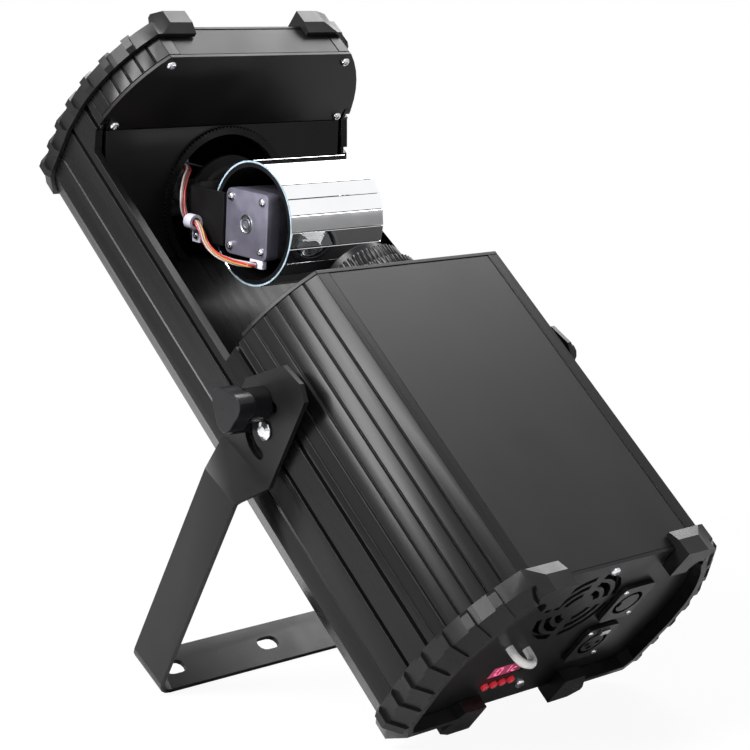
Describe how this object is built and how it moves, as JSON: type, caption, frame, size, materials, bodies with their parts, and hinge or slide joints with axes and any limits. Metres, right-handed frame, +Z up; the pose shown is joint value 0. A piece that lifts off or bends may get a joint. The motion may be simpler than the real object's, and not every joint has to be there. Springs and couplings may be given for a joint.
{
  "type": "led scanner light",
  "caption": "Stage light whose fixed lens aims at a drum of narrow mirrors on a turning plate, in a black aluminium body with ribbed bumpers and a U-shaped clamp bracket",
  "frame": {"origin": "Centre of the bounding box in X and Y, at the floor that the light stands on.", "axes": "+X across the light, +Y the horizontal way in which the body rises from its socket end to its head, +Z up. The body leans 43 degrees up from the floor."},
  "size_m": [0.2586, 0.4078, 0.389],
  "materials": {
    "black_extrusion": "satin",
    "dark_panel": "satin",
    "black_sheet": "satin",
    "black_plastic": "matte",
    "bright_steel": "satin",
    "bare_aluminium": "satin",
    "motor_case": "satin",
    "mirror_glass": "polished",
    "lens_glass": "polished",
    "white_plastic": "gloss",
    "red_plastic": "gloss",
    "board": "matte",
    "wire_sleeve": "satin"
  },
  "bodies": {
    "fixture": {"rear_housing": "black_extrusion", "front_housing": "black_extrusion", "head_housing": "black_extrusion", "front_panel": "dark_panel", "head_panel": "dark_panel", "head_closing_plate": "black_sheet", "lower_closing_plate": "black_sheet", "bottom_end_plate": "black_sheet", "top_end_plate": "black_sheet", "bay_plate": "black_sheet", "bay_ring": "black_plastic", "fan_frame": "black_plastic", "power_inlet": "black_plastic", "signal_socket": "black_plastic", "lens_sleeve": "black_plastic", "slot_stud_left": "black_plastic", "slot_stud_right": "black_plastic", "bumper_bottom_left": "black_plastic", "bumper_bottom_right": "black_plastic", "bumper_top_left": "black_plastic", "bumper_top_right": "black_plastic", "pan_belt": "black_plastic", "optics_chassis": "bright_steel", "power_supply": "bright_steel", "pan_mount": "bright_steel", "pivot_screw_left": "bright_steel", "pivot_screw_right": "bright_steel", "heat_sink": "bare_aluminium", "pan_motor": "motor_case", "colour_motor": "motor_case", "gobo_motor": "motor_case", "condenser_lens": "lens_glass", "safety_eye": "white_plastic", "display_window": "red_plastic", "control_board": "board", "led_module": "board"},
    "bracket": {"bracket": "black_sheet"},
    "knob_left": {"clamp_knob_left": "black_plastic"},
    "knob_right": {"clamp_knob_right": "black_plastic"},
    "pan": {"turntable": "black_plastic", "motor_arm": "black_sheet", "drum_motor": "motor_case", "cable_clip": "white_plastic", "wire_loom": "wire_sleeve"},
    "drum": {"drum_core": "black_plastic", "mirror_sleeve": "mirror_glass"},
    "pinion": {"pan_pinion": "bright_steel"},
    "fan": {"fan_rotor": "black_plastic"},
    "colour": {"colour_wheel": "bare_aluminium"},
    "gobo": {"gobo_wheel": "bare_aluminium"},
    "focus": {"focus_ring": "black_plastic"},
    "lens": {"lens_tube": "black_plastic", "front_lens": "lens_glass"},
    "latch": {"socket_latch": "bright_steel"},
    "button_1": {"menu_button_1": "red_plastic"},
    "button_2": {"menu_button_2": "red_plastic"},
    "button_3": {"menu_button_3": "red_plastic"},
    "button_4": {"menu_button_4": "red_plastic"}
  },
  "joints": [
    {"name": "bracket_tilt", "type": "hinge", "parent": "fixture", "child": "bracket", "pos_m": [0, -0.03252, 0.16414], "axis": [1, 0, 0], "range_deg": [-33, 67]},
    {"name": "knob_turn_right", "type": "hinge", "parent": "fixture", "child": "knob_right", "pos_m": [0, -0.03044, 0.17891], "axis": [1, 0, 0], "range_deg": [0, 350]},
    {"name": "knob_turn_left", "type": "hinge", "parent": "fixture", "child": "knob_left", "pos_m": [0, -0.03044, 0.17891], "axis": [-1, 0, 0], "range_deg": [0, 350]},
    {"name": "pan_turn", "type": "hinge", "parent": "fixture", "child": "pan", "pos_m": [0, 0.13322, 0.27183], "axis": [0, -0.9956, -0.0941], "range_deg": [-70, 70]},
    {"name": "pinion_turn", "type": "hinge", "parent": "fixture", "child": "pinion", "pos_m": [-0.042, 0.13124, 0.29274], "axis": [0, -0.9956, -0.0941], "range_deg": [-181, 181]},
    {"name": "drum_spin", "type": "hinge", "parent": "pan", "child": "drum", "pos_m": [0, 0.06323, 0.26521], "axis": [1, 0, 0], "continuous": true},
    {"name": "fan_spin", "type": "hinge", "parent": "fixture", "child": "fan", "pos_m": [-0.007, -0.16242, 0.08142], "axis": [0, 0.7385, 0.6743], "continuous": true},
    {"name": "colour_turn", "type": "hinge", "parent": "fixture", "child": "colour", "pos_m": [-0.01559, -0.069, 0.15589], "axis": [0, 0.7385, 0.6743], "continuous": true},
    {"name": "gobo_turn", "type": "hinge", "parent": "fixture", "child": "gobo", "pos_m": [0.01559, -0.06162, 0.16263], "axis": [0, 0.7385, 0.6743], "continuous": true},
    {"name": "focus_turn", "type": "hinge", "parent": "fixture", "child": "focus", "pos_m": [0, -0.0089, 0.22295], "axis": [0, 0.7385, 0.6743], "range_deg": [0, 120]},
    {"name": "lens_slide", "type": "slide", "parent": "fixture", "child": "lens", "axis": [0, 0.7385, 0.6743], "range_m": [0, 0.004]},
    {"name": "latch_push", "type": "slide", "parent": "fixture", "child": "latch", "axis": [0, 0.6743, -0.7385], "range_m": [0, 0.001], "stiffness_N_per_m": 200},
    {"name": "button_1_press", "type": "slide", "parent": "fixture", "child": "button_1", "axis": [0, 0.7385, 0.6743], "range_m": [0, 0.001], "stiffness_N_per_m": 200},
    {"name": "button_2_press", "type": "slide", "parent": "fixture", "child": "button_2", "axis": [0, 0.7385, 0.6743], "range_m": [0, 0.001], "stiffness_N_per_m": 200},
    {"name": "button_3_press", "type": "slide", "parent": "fixture", "child": "button_3", "axis": [0, 0.7385, 0.6743], "range_m": [0, 0.001], "stiffness_N_per_m": 200},
    {"name": "button_4_press", "type": "slide", "parent": "fixture", "child": "button_4", "axis": [0, 0.7385, 0.6743], "range_m": [0, 0.001], "stiffness_N_per_m": 200}
  ],
  "couplings": [
    {"joint": "pinion_turn", "follows": "pan_turn", "ratio": 2.5714},
    {"joint": "lens_slide", "follows": "focus_turn", "m_per_rad": 0.0019}
  ]
}
